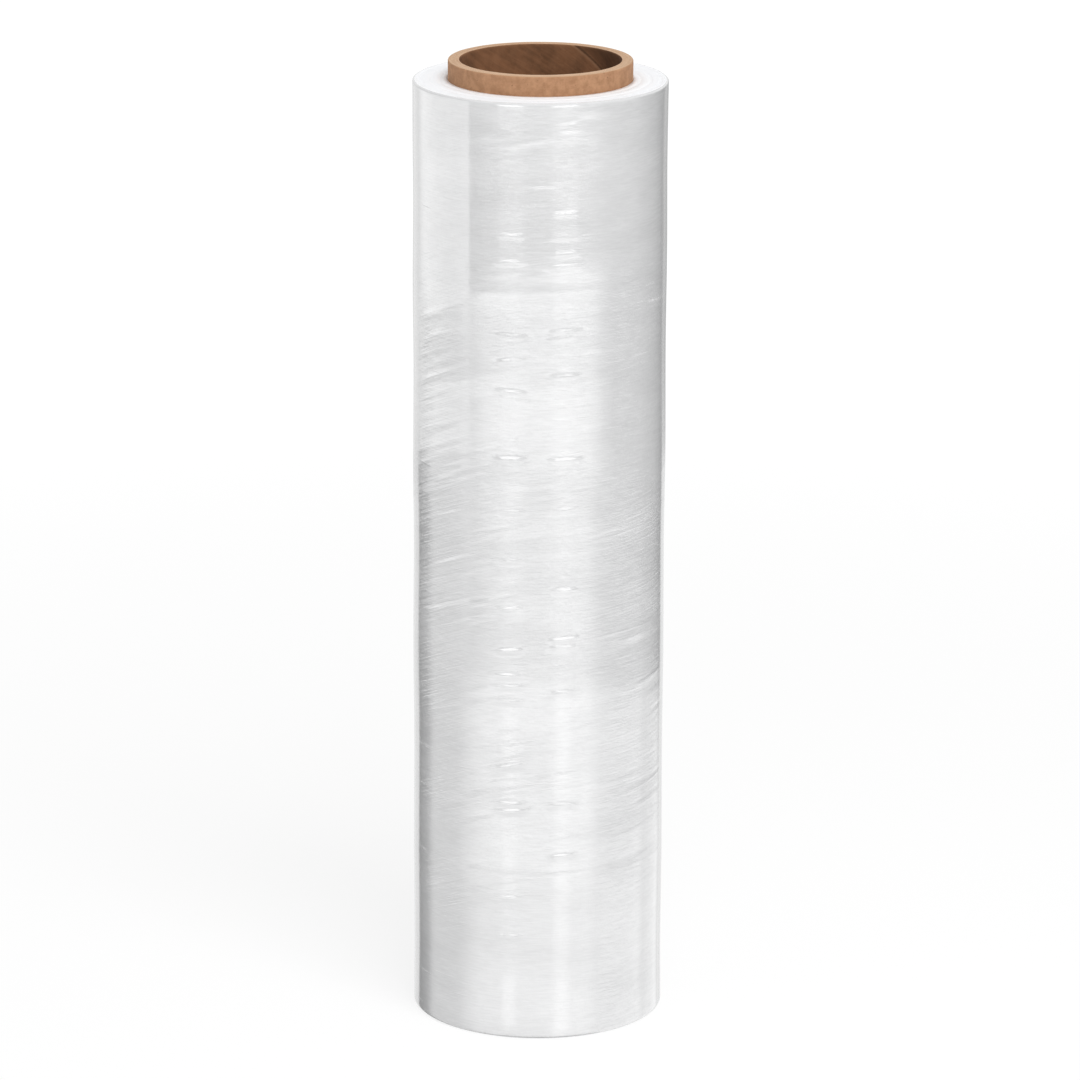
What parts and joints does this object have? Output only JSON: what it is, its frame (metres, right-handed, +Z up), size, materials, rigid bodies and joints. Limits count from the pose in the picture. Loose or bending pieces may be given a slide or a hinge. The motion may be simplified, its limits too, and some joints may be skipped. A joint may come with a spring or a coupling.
{
  "type": "stretch wrap roll",
  "caption": "Hand roll of clear stretch film wound on a brown cardboard core, standing on one end, with a short stub of core above the film.",
  "frame": {"origin": "on the roll's axis, in the plane of the end that it stands on", "axes": "+Z up along the core's axis, towards the end where the core stands out of the film; -Y faces the camera of the picture"},
  "size_m": [0.1208, 0.121, 0.4666],
  "materials": {
    "film": "glossy wound clear film, milky white in the roll, with fine circumferential lines and tension wrinkles",
    "cardboard": "matte brown kraft board, spiral wound, lighter on the cut rims"
  },
  "bodies": {
    "root": {"cardboard_core": "cardboard", "film_roll": "film"}
  },
  "joints": []
}
